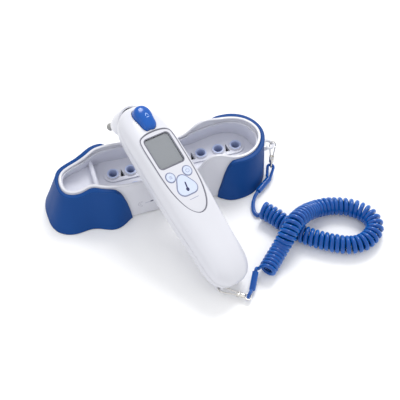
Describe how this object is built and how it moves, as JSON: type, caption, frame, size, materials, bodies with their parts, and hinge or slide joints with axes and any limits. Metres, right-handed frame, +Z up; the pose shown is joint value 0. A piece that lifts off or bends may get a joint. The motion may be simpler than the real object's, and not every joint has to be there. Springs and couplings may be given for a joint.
{
  "type": "ear thermometer on a tethered cradle",
  "caption": "Ear thermometer handset with display, keys and eject button, lying across a boat-shaped cradle for probe covers, with a coiled tether.",
  "frame": {"origin": "centre of the cradle's footprint, on the table", "axes": "+X to the cradle's tethered end, -Y to the user, +Z up"},
  "size_m": [0.2721, 0.1804, 0.0901],
  "materials": {
    "white_case": "smooth satin-gloss moulding",
    "white_tray": "fine matt moulding",
    "blue_boot": "soft-touch overmould",
    "grey_plastic": "fine texture",
    "rubber_grey": "matt",
    "steel": "drawn wire",
    "probe_cover": "thin translucent film",
    "panel": "printed film with a dark outline",
    "window": "clear pane",
    "lcd": "reflective grey display",
    "board": "solder mask",
    "cell_wrap": "plain printed wrap",
    "blue_button": "polished",
    "grey_tip": "fine matt",
    "gold": "polished bore",
    "key": "soft matt",
    "blue_cord": "glossy polyurethane"
  },
  "bodies": {
    "cradle": {"cradle_shell": "white_case", "cradle_tray": "white_tray", "boot_left": "blue_boot", "boot_right": "blue_boot", "bottom_cover": "grey_plastic", "cradle_feet": "rubber_grey", "cradle_screws": "steel", "tether_lug": "white_case", "swivel_cradle": "steel", "cord_loop_cradle": "blue_cord", "sleeve_cradle": "blue_cord", "coil_tether": "blue_cord"},
    "cassette_rear": {"cassette_back": "white_tray", "covers_back": "probe_cover"},
    "cassette_near": {"cassette_front": "white_tray", "covers_front": "probe_cover"},
    "clip_cradle": {"snap_cradle": "steel"},
    "clip_gate_cradle": {"gate_cradle": "steel"},
    "handset": {"front_cover": "white_case", "rear_cover": "white_case", "panel_overlay": "panel", "display_window": "window", "lcd_module": "lcd", "key_pad": "rubber_grey", "circuit_board": "board", "buzzer": "grey_plastic", "battery_cells": "cell_wrap", "battery_springs": "steel", "contact_plate": "steel", "probe_cone": "white_case", "probe_tube": "grey_tip", "waveguide": "gold", "tip_window": "window", "thermopile_sensor": "steel", "sleeve_spring": "steel", "case_screws": "steel", "handset_lug": "white_case", "swivel_handset": "steel", "cord_loop_handset": "blue_cord", "sleeve_handset": "blue_cord"},
    "clip_handset": {"snap_handset": "steel"},
    "clip_gate_handset": {"gate_handset": "steel"},
    "door": {"battery_door": "white_case", "door_screw": "steel"},
    "button": {"eject_button": "blue_button"},
    "ejector": {"eject_sleeve": "grey_plastic"},
    "key_measure": {"measure_key": "key"},
    "key_memory": {"memory_key": "key"},
    "key_mode": {"mode_key": "key"}
  },
  "joints": [
    {"name": "handset_lift", "type": "slide", "parent": "cradle", "child": "handset", "axis": [0, 0, 1], "range_m": [0, 0.12], "deforming": ["coil_tether"]},
    {"name": "cassette_rear_lift", "type": "slide", "parent": "cradle", "child": "cassette_rear", "axis": [0, 0, 1], "range_m": [0, 0.006]},
    {"name": "cassette_near_lift", "type": "slide", "parent": "cradle", "child": "cassette_near", "axis": [0, 0, 1], "range_m": [0, 0.006]},
    {"name": "clip_cradle_swivel", "type": "hinge", "parent": "cradle", "child": "clip_cradle", "pos_m": [0.10422, -0.01465, 0.01492], "axis": [0.1023, 0.2352, 0.9665], "range_deg": [-3, 20]},
    {"name": "clip_cradle_gate", "type": "hinge", "parent": "clip_cradle", "child": "clip_gate_cradle", "pos_m": [0.10545, -0.01465, 0.01603], "axis": [0.2346, 0.9385, -0.2533], "range_deg": [-12, 0]},
    {"name": "clip_handset_swivel", "type": "hinge", "parent": "handset", "child": "clip_handset", "pos_m": [0.03599, -0.133, 0.00461], "axis": [-0.8301, 0.5528, 0.0733], "range_deg": [-8, 8]},
    {"name": "clip_handset_gate", "type": "hinge", "parent": "clip_handset", "child": "clip_gate_handset", "pos_m": [0.03564, -0.13138, 0.00472], "axis": [-0.0528, 0.0528, -0.9972], "range_deg": [-12, 0]},
    {"name": "battery_door_lift", "type": "slide", "parent": "handset", "child": "door", "axis": [-0.3519, 0.2616, -0.8987], "range_m": [0, 0.005]},
    {"name": "eject_button_press", "type": "slide", "parent": "handset", "child": "button", "axis": [-0.3519, 0.2616, -0.8987], "range_m": [0, 0.0025], "stiffness_N_per_m": 400},
    {"name": "eject_sleeve_slide", "type": "slide", "parent": "handset", "child": "ejector", "axis": [-0.4324, 0.5944, -0.678], "range_m": [0, 0.004], "deforming": ["sleeve_spring"]},
    {"name": "measure_key_press", "type": "slide", "parent": "handset", "child": "key_measure", "axis": [-0.3519, 0.2616, -0.8987], "range_m": [0, 0.0005], "stiffness_N_per_m": 800},
    {"name": "memory_key_press", "type": "slide", "parent": "handset", "child": "key_memory", "axis": [-0.3519, 0.2616, -0.8987], "range_m": [0, 0.0005], "stiffness_N_per_m": 800},
    {"name": "mode_key_press", "type": "slide", "parent": "handset", "child": "key_mode", "axis": [-0.3519, 0.2616, -0.8987], "range_m": [0, 0.0005], "stiffness_N_per_m": 800}
  ],
  "couplings": [
    {"joint": "eject_sleeve_slide", "follows": "eject_button_press", "ratio": 1.6}
  ]
}
